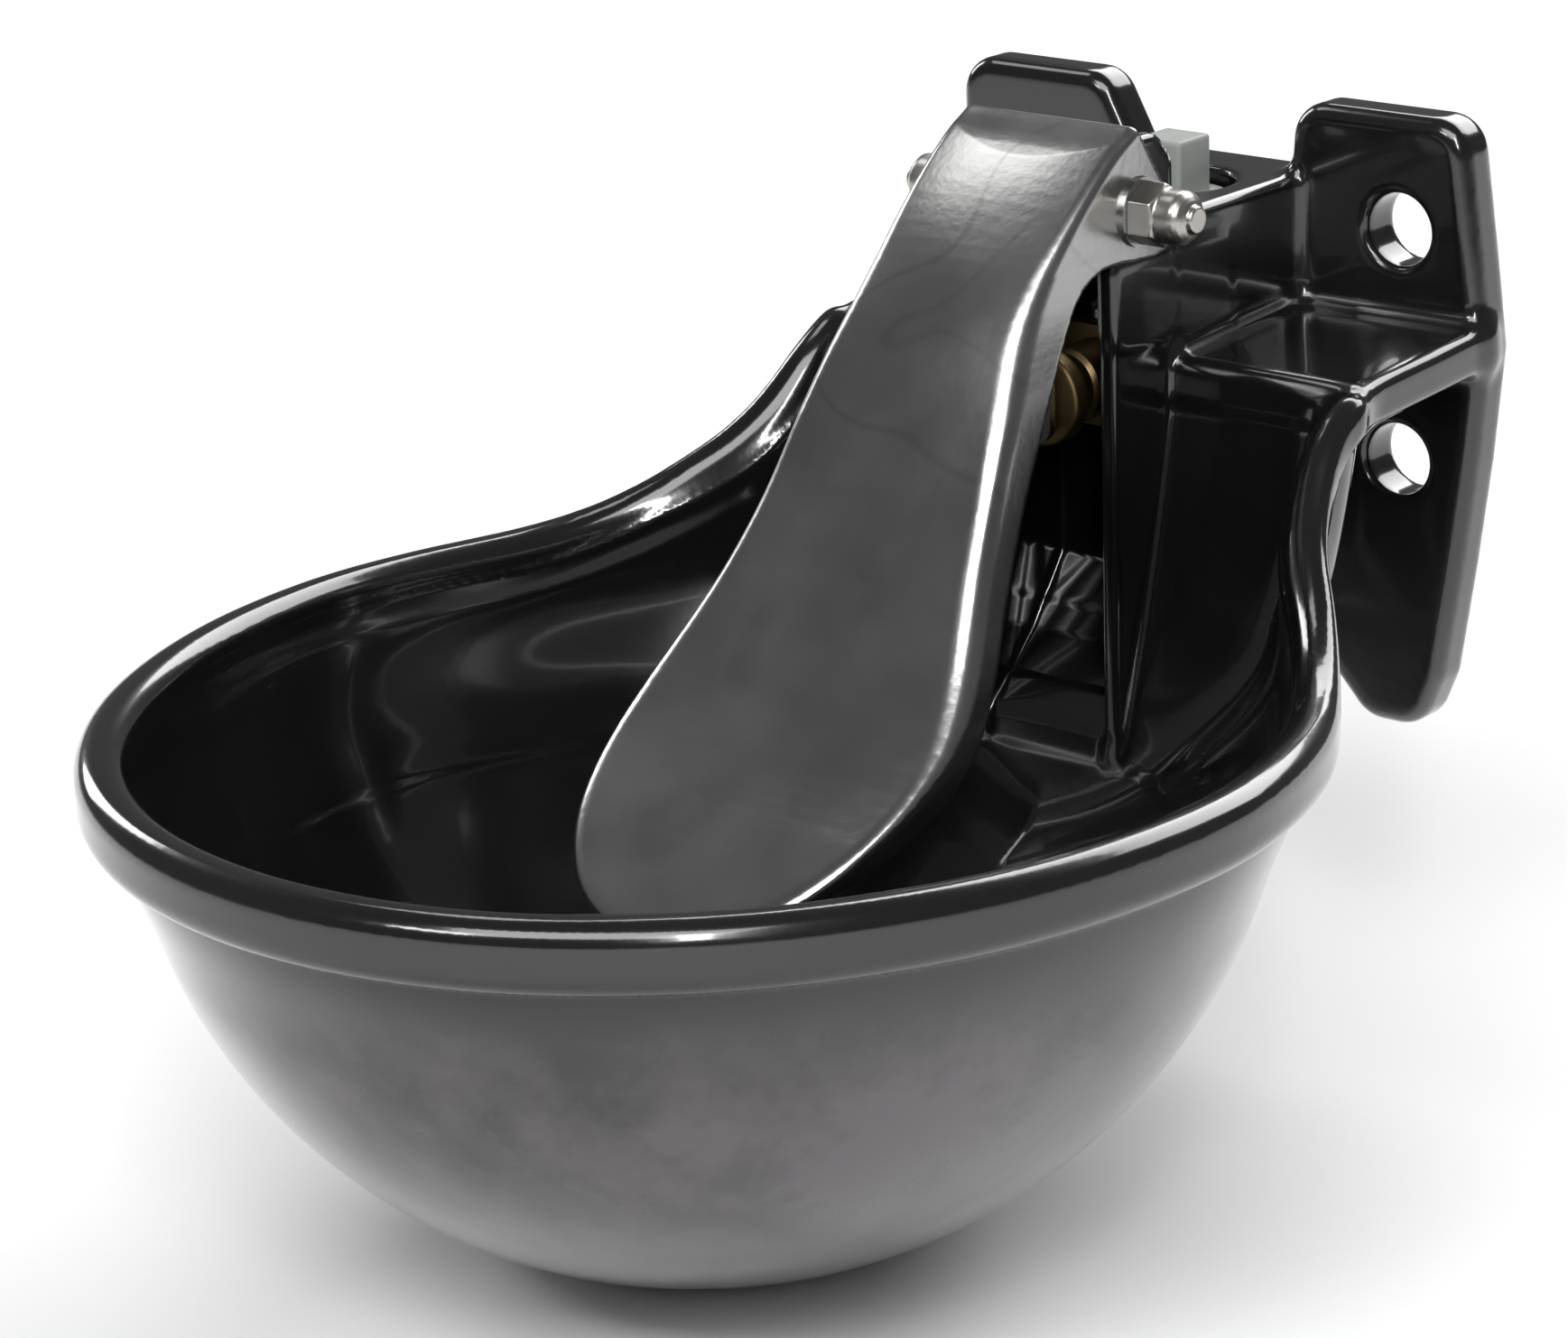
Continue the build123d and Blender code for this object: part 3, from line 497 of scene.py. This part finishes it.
def casting(x, y, z):
    ax = np.abs(x)
    outer = basin(x, y, z, 0.0, 13.0)
    inner = basin(x, y, z, 6.0, 12.0)
    zr = lookup(RIM, y)
    slope = lookup(RIM_SLOPE, y)
    cosine = 1 / np.sqrt(1 + slope * slope)
    zc = zr - (7.9 - 2.5 * smooth((y + 150.0) / 45.0)) / cosine
    over = (z - zc) * cosine
    shell = np.maximum(np.maximum(outer, -inner), over)
    # rim bead
    ring = basin(x, y, np.maximum(z, -46.0), 0.0, 13.0)
    slim = smooth((y + 150.0) / 45.0)
    qx, qz = np.abs(ring - 0.1 + 0.5 * slim) - 0.6 + 0.2 * slim, np.abs(over) - 2.7 + 1.4 * slim
    round_r = 5.1 - 1.1 * slim
    bead = np.hypot(np.maximum(qx, 0), np.maximum(qz, 0)) - round_r + np.minimum(np.maximum(qx, qz), 0)
    bead = smax(bead, y + 62.0, 7.0)
    d = smin(shell, bead, 1.8 + 1.6 * slim)
    # ledge
    top = 5.2 + (y + 61) * 0.048
    ledge = round_box(ax, y, z - top, (46.0, -35.0, -5.5), (28.0, 28.5, 5.5), 3.2)
    d = smin(d, ledge, 4.0)
    # ears
    ear2 = np.where(x > 0, round_poly(ax, z, EAR, 9.4), round_poly(ax, z, EAR_LEFT, 9.4))
    ear = prism(ear2, np.abs(y + 6.5) - 6.5, 3.8)
    d = smin(d, ear, 5.0)
    # housing, channel walls with their lugs, channel floor
    half = 22.0 + (y + 62) / 62 * 1.5
    house = round_box(x * 22.5 / half, y, z, (0, -31.0, -17.25), (22.5, 31.0, 54.75), 2.6)
    d = smin(d, house, 5.0)
    wall = prism(round_poly(y, z, WALL, 2.0), np.abs(ax - 19.5) - 2.5, 1.4)
    lug = prism(round_poly(y, z, LUG, 5.0), np.abs(ax - 19.5) - 2.5, 1.4)
    d = smin(d, wall, 2.5)
    d = smin(d, lug, 2.5)
    d = np.minimum(d, np.maximum(poly_sd(y, z, FLOOR), ax - 18.5))
    # open channel in front of the valve
    d = smax(d, -smax(poly_sd(y, z, CHANNEL), ax - 17.0, 1.5), 1.6)
    d = smax(d, -smax(inner, z + 88.0, 3.0), 1.5)
    # bores
    d = smax(d, -np.maximum(np.hypot(x, y + 31.0) - 14.5, 30.0 - z), 1.4)
    d = smax(d, -np.maximum(np.hypot(x, y + 31.0) - 9.5, z - 31.0), 1.0)
    d = smax(d, -np.maximum(np.hypot(x, z + 3.0) - 11.0, y + 16.5), 1.0)
    d = smax(d, -np.maximum(np.hypot(y + 77.5, z - 42.0) - 6.0, ax - 30), 0.8)
    hole = np.hypot(ax - 50.0, np.abs(z) - 27.5) - 8.5
    d = smax(d, -np.maximum(hole, -y - 24.0), 2.6)
    # a cast and enamelled skin is never quite even
    wave = np.sin(x * 0.083 + 1.3) * np.sin(y * 0.097 + 0.7) * np.sin(z * 0.105 + 2.1)
    d = d + 0.10 * wave * smooth(-y / 40.0)
    return np.maximum(d, y)


step = 1.2
verts, quads = nets(casting, (-135, -345, -171), (135, 3, 62), step)
piece = make_object("bowl_casting_skin", verts, quads, M_ENAMEL)
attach(piece, "frame")
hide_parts("bowl_casting")

# --------------------------------------------------------------------- paddle
FACE = [(-74.0, 64.2, 24.2), (-78.0, 61.5, 24.2), (-87.4, 55.3, 24.2), (-96.4, 48.3, 24.2),
        (-104.5, 41.3, 24.2), (-112.4, 33.8, 24.2), (-119.4, 26.3, 24.9), (-125.6, 18.5, 25.9),
        (-131.0, 10.2, 27.2), (-136.2, 1.6, 28.7), (-141.0, -6.8, 29.9), (-146.1, -15.3, 31.3),
        (-151.4, -23.4, 33.1), (-156.8, -31.4, 35.4), (-162.5, -39.0, 38.0),
        (-168.9, -46.3, 40.5), (-175.8, -53.0, 42.3), (-184.2, -59.4, 42.8),
        (-193.5, -65.6, 41.7), (-203.1, -71.5, 38.8), (-212.6, -77.5, 33.7),
        (-221.4, -83.0, 25.6), (-227.6, -86.8, 15.0), (-230.8, -88.7, 0.0)]
FLANGE = [(-62.2, 44.0), (-60.8, 40.0), (-62.6, 34.6), (-68.0, 31.0), (-76.8, 30.6),
          (-84.5, 31.4), (-91.5, 31.4), (-99.1, 28.6), (-108.0, 19.5), (-117.2, 8.0),
          (-127.5, -7.0), (-139.2, -24.4), (-150.7, -39.6), (-162.0, -53.0), (-171.4, -62.5),
          (-180.5, -69.6), (-192.7, -78.2), (-204.0, -85.0), (-216.0, -91.8), (-227.0, -97.0)]


def resample(pts, step):
    p = np.array(pts, float)
    s = np.concatenate([[0], np.cumsum(np.linalg.norm(np.diff(p, axis=0), axis=1))])
    n = int(s[-1] / step) + 1
    u = np.linspace(0, s[-1], n)
    # cubic through the points
    m = np.gradient(p, s, axis=0)
    i = np.clip(np.searchsorted(s, u) - 1, 0, len(p) - 2)
    h = (s[i + 1] - s[i])[:, None]
    t = ((u - s[i])[:, None]) / h
    h00, h10 = 2 * t**3 - 3 * t**2 + 1, t**3 - 2 * t**2 + t
    h01, h11 = -2 * t**3 + 3 * t**2, t**3 - t**2
    return h00 * p[i] + h10 * h * m[i] + h01 * p[i + 1] + h11 * h * m[i + 1]


face_c = resample([(a, b) for a, b, _ in FACE], 4.0)
last = face_c[-1] - face_c[-2]
face_c = np.vstack([face_c, face_c[-1] + last / np.linalg.norm(last) * 30])
flange_c = resample(FLANGE, 4.0)
face_poly = [tuple(p) for p in face_c] + [(-300.0, -400.0), (200.0, -400.0), (200.0, 250.0)]
# everything on the paddle's own side of its flange edge
flange_poly = [(-66.0, 200.0)] + [(-62.4, 60.0)] + [tuple(p) for p in flange_c] + [
    (-260.0, -112.0), (-600.0, -112.0), (-600.0, 200.0)]
low = resample([(w, z) for _, z, w in FACE[5:]], 2.5)
out_right = [tuple(p) for p in low]
out_left = [(-p[0], p[1]) for p in low[::-1][1:]]
outline_poly = out_right + out_left + [(-24.2, 200.0), (24.2, 200.0)]


def paddle(x, y, z):
    d_face = poly_sd(y, z, face_poly)
    along = -0.835 * (y + 78.0) - 0.551 * (z - 61.5)
    crease = 15.0 - 8.5 * (x / 23.0) ** 2
    crown = 1.7 * np.clip(along / crease, 0, 1) * np.clip(1 - (x / 27.0) ** 2, 0, 1)
    crown = crown * (1 - smooth((along - 45.0) / 75.0))
    d_out = poly_sd(x, z, outline_poly)
    k = 2.6 + 2.4 * smooth((along - 10.0) / 60.0)
    wide = 0.9 * smooth((30.0 - z) / 25.0)
    solid = smax(d_face - 0.4 * smooth(along / 12.0) - crown, d_out - wide, k)
    sheet = np.abs(solid + 0.75) - 0.75
    sheet = smax(sheet, poly_sd(y, z, flange_poly), 0.8)
    sheet = smax(sheet, -(along - 0.2), 0.5)
    return np.maximum(sheet, 4.05 - np.hypot(y + 77.5, z - 42.0))


step = 0.62
verts, quads = nets(paddle, (-46, -234, -100), (46, -58, 64), step, reach=1.8)
piece = make_object("press_paddle_skin", verts, quads, M_SHEET)
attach(piece, "paddle")
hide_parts("press_paddle")


# ----------------------------------------------------------------- small parts
def cap_nut(side):
    def fn(x, y, z):
        u = side * x - 25.2
        r = np.hypot(y + 77.5, z - 42.0)
        yy, zz = y + 77.5, z - 42.0
        hexa = np.maximum.reduce([np.abs(yy), np.abs(0.5 * yy + 0.8660254 * zz),
                                  np.abs(0.5 * yy - 0.8660254 * zz)]) - 6.5
        hexa = smax(hexa, r + (u - 6.3) * 1.35 - 6.9, 0.3)
        hexa = smax(hexa, r - (u + 0.35) * 2.2 - 6.7, 0.3)
        base = np.maximum(smax(hexa, u - 6.6, 0.5), -u)
        body = np.interp(u, [0, 6, 10.6, 11.6, 12.6, 13.3, 13.7, 15.0, 16],
                         [6.2, 6.2, 6.2, 6.0, 5.2, 4.2, 3.3, 3.1, 3.1])
        dome = np.maximum((r - body) * 0.8, u - 15.0)
        dome = np.maximum(smax(r - body, u - 15.0, 0.6) * 0.8, -u)
        return np.maximum(smin(base, dome, 0.5), np.minimum(4.05 - r, 10.9 - u) * 1.0)
    return fn


nut_v, nut_q = [], []
offset = 0
for side in (-1, 1):
    lo = (25.0 if side > 0 else -40.6, -85.4, 33.6)
    hi = (40.6 if side > 0 else -25.0, -69.4, 50.2)
    v, q = nets(cap_nut(side), lo, hi, 0.32)
    nut_v.append(v)
    nut_q.append(q + offset)
    offset += len(v)
piece = make_object("hinge_cap_nuts_skin", np.concatenate(nut_v), np.concatenate(nut_q), M_NUT)
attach(piece, "paddle")
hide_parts("hinge_cap_nuts")


def button(x, y, z):
    u = y + 87.0
    r = np.hypot(x, z + 3.0)
    front = np.sqrt(r * r + (u - 34.0) ** 2) - 34.0
    d = smax(smax(r - 11.5, front, 0.8), u - 7.0, 1.6)
    return np.maximum(d, -np.maximum(r - 2.0, 2.2 - u))


v, q = nets(button, (-12.5, -88, -15.5), (12.5, -79, 9.5), 0.5)
piece = make_object("push_button_skin", v, q, M_BRASS)
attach(piece, "stem")
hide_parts("push_button")


def plug(x, y, z):
    yy = y + 31.0
    r = np.hypot(x, yy)
    head = round_box(x, yy, z, (0, 0, 40.8), (6.3, 6.3, 6.9), 0.9)
    disc = smax(r - 13.0, np.abs(z - 32.7) - 1.2, 0.6)
    barrel = smax(r - 9.45, np.abs(z - 25.25) - 6.75, 0.8)
    groove = np.abs(((z - 19.0) % 1.8) - 0.9) * 0.6
    barrel = np.maximum(barrel, r - 9.45 + np.where(z < 30.0, 0.45 - groove, 0) * 0.9)
    d = smin(smin(head, disc, 1.0), barrel, 0.3)
    return np.maximum(d, -np.maximum(r - 6.5, np.maximum(z - 30.0, 17.0 - z)))


v, q = nets(plug, (-14, -45, 17.5), (14, -17, 48.5), 0.5)
piece = make_object("top_plug_skin", v, q, M_PLUG)
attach(piece, "frame")
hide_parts("top_plug")

# return spring: a coil of fixed length; the real spring shortens as the stem slides in
turns, around, across = 5, 36, 10
n_ring = turns * around + 1
t = np.linspace(0, 1, n_ring)
ang = 2 * np.pi * turns * t
centre = np.stack([4.6 * np.cos(ang), -36.05 + 14.2 * t, -3.0 + 4.6 * np.sin(ang)], 1)
tangent = np.gradient(centre, axis=0)
tangent /= np.linalg.norm(tangent, axis=1)[:, None]
outward = np.stack([np.cos(ang), 0 * ang, np.sin(ang)], 1)
other = np.cross(tangent, outward)
phi = np.linspace(0, 2 * np.pi, across, endpoint=False)
rings = (centre[:, None] + 0.55 * (np.cos(phi)[None, :, None] * outward[:, None]
                                   + np.sin(phi)[None, :, None] * other[:, None]))
caps = np.stack([centre[0] - tangent[0] * 0.18, centre[-1] + tangent[-1] * 0.18])
coil_v = np.concatenate([rings.reshape(-1, 3), caps])
coil_f = []
for i in range(n_ring - 1):
    for j in range(across):
        k = (j + 1) % across
        coil_f.append((i * across + j, i * across + k, (i + 1) * across + k,
                       (i + 1) * across + j))
first, end = n_ring * across, n_ring * across + 1
for j in range(across):
    k = (j + 1) % across
    coil_f.append((first, k, j))
    coil_f.append((end, (n_ring - 1) * across + j, (n_ring - 1) * across + k))
mesh = bpy.data.meshes.new("return_spring_skin")
mesh.from_pydata([tuple(p) for p in coil_v / 1000.0], [], coil_f)
mesh.polygons.foreach_set("use_smooth", [True] * len(mesh.polygons))
mesh.update()
mesh.materials.append(M_BRACKET)
piece = bpy.data.objects.new("return_spring_skin", mesh)
bpy.context.scene.collection.objects.link(piece)
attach(piece, "frame")
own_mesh(piece)
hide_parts("return_spring")

# --------------------------------------------------------------- floor, lights
def grid_plane(name, lo, hi, z, n=2):
    xs = np.linspace(lo[0], hi[0], n)
    ys = np.linspace(lo[1], hi[1], n)
    v = [(x, y, z) for x in xs for y in ys]
    f = [(i * n + j, (i + 1) * n + j, (i + 1) * n + j + 1, i * n + j + 1)
         for i in range(n - 1) for j in range(n - 1)]
    mesh = bpy.data.meshes.new(name)
    mesh.from_pydata(v, [], f)
    o = bpy.data.objects.new(name, mesh)
    bpy.context.scene.collection.objects.link(o)
    return o


def floor_look():
    m, nt, bsdf, co = new_material("floor_look")
    cloud = noise(nt, co, 1.5, 3.0)
    nt.links.new(ramp(nt, cloud, [(0.3, (0.86, 0.86, 0.87)), (0.7, (0.90, 0.90, 0.905))]),
                 bsdf.inputs["Base Color"])
    bsdf.inputs["Roughness"].default_value = 0.8
    return m


floor = grid_plane("floor", (-9, -9), (9, 9), -0.1685)
floor.data.materials.append(floor_look())

world = bpy.data.worlds.new("studio")
bpy.context.scene.world = world
world.use_nodes = True
bg = world.node_tree.nodes["Background"]
bg.inputs["Color"].default_value = (0.95, 0.955, 0.97, 1)
bg.inputs["Strength"].default_value = 0.13


def area(name, pos, target, sx, sy, power, color=(1, 1, 1)):
    data = bpy.data.lights.new(name, "AREA")
    data.shape = "RECTANGLE"
    data.size, data.size_y = sx, sy
    data.energy = power
    data.color = color
    o = bpy.data.objects.new(name, data)
    o.location = pos
    o.rotation_euler = (Vector(target) - Vector(pos)).to_track_quat("-Z", "Y").to_euler()
    bpy.context.scene.collection.objects.link(o)
    return o


area("ceiling_behind", (-0.2, 3.3, 2.5), (-0.2, 3.0, 0), 4.0, 3.0, 200)
area("left_window", (-1.5, 0.15, 0.55), (0, -0.18, -0.05), 0.35, 0.7, 5)
area("facet_light", (-0.27, -0.07, 0.40), (0, -0.085, 0.06), 0.13, 0.13, 0.16)
area("fold_strip", (1.05, -1.25, 0.95), (0, -0.15, 0.0), 0.16, 0.8, 10)
area("front_window", (-0.2, -1.9, 1.25), (0, -0.18, -0.05), 0.5, 0.25, 6)
area("front_fill", (0.9, -2.2, 2.6), (0.2, -0.5, -0.15), 2.6, 1.6, 72)

# --------------------------------------------------------------------- camera
cam = bpy.data.cameras.new("camera")
cam.lens = 5400 / 1737 * 36.0
cam.sensor_width = 36.0
cam.sensor_fit = "HORIZONTAL"
cam.clip_start, cam.clip_end = 0.05, 50
camera = bpy.data.objects.new("camera", cam)
th, ph, ro = math.radians(40.5), math.radians(18.73), math.radians(2.05)
b = np.array([math.sin(th) * math.cos(ph), -math.cos(th) * math.cos(ph), math.sin(ph)])
r = np.array([math.cos(th), math.sin(th), 0.0])
up = np.cross(b, r)
r2 = math.cos(ro) * r - math.sin(ro) * up
u2 = math.sin(ro) * r + math.cos(ro) * up
hinge = np.array([0.0, -0.0775, 0.042])
scale = 4900.0
off = np.array([(1166.8 - 868.5) / scale, -(219.8 - 741.0) / scale, -5400.0 / scale])
centre = hinge - (off[0] * r2 + off[1] * u2 + off[2] * b)
mat = Matrix.Identity(4)
for i in range(3):
    mat[i][0], mat[i][1], mat[i][2], mat[i][3] = r2[i], u2[i], b[i], centre[i]
camera.matrix_world = mat
bpy.context.scene.collection.objects.link(camera)
bpy.context.scene.camera = camera
bpy.context.scene.view_settings.view_transform = "Standard"

bpy.context.view_layer.update()
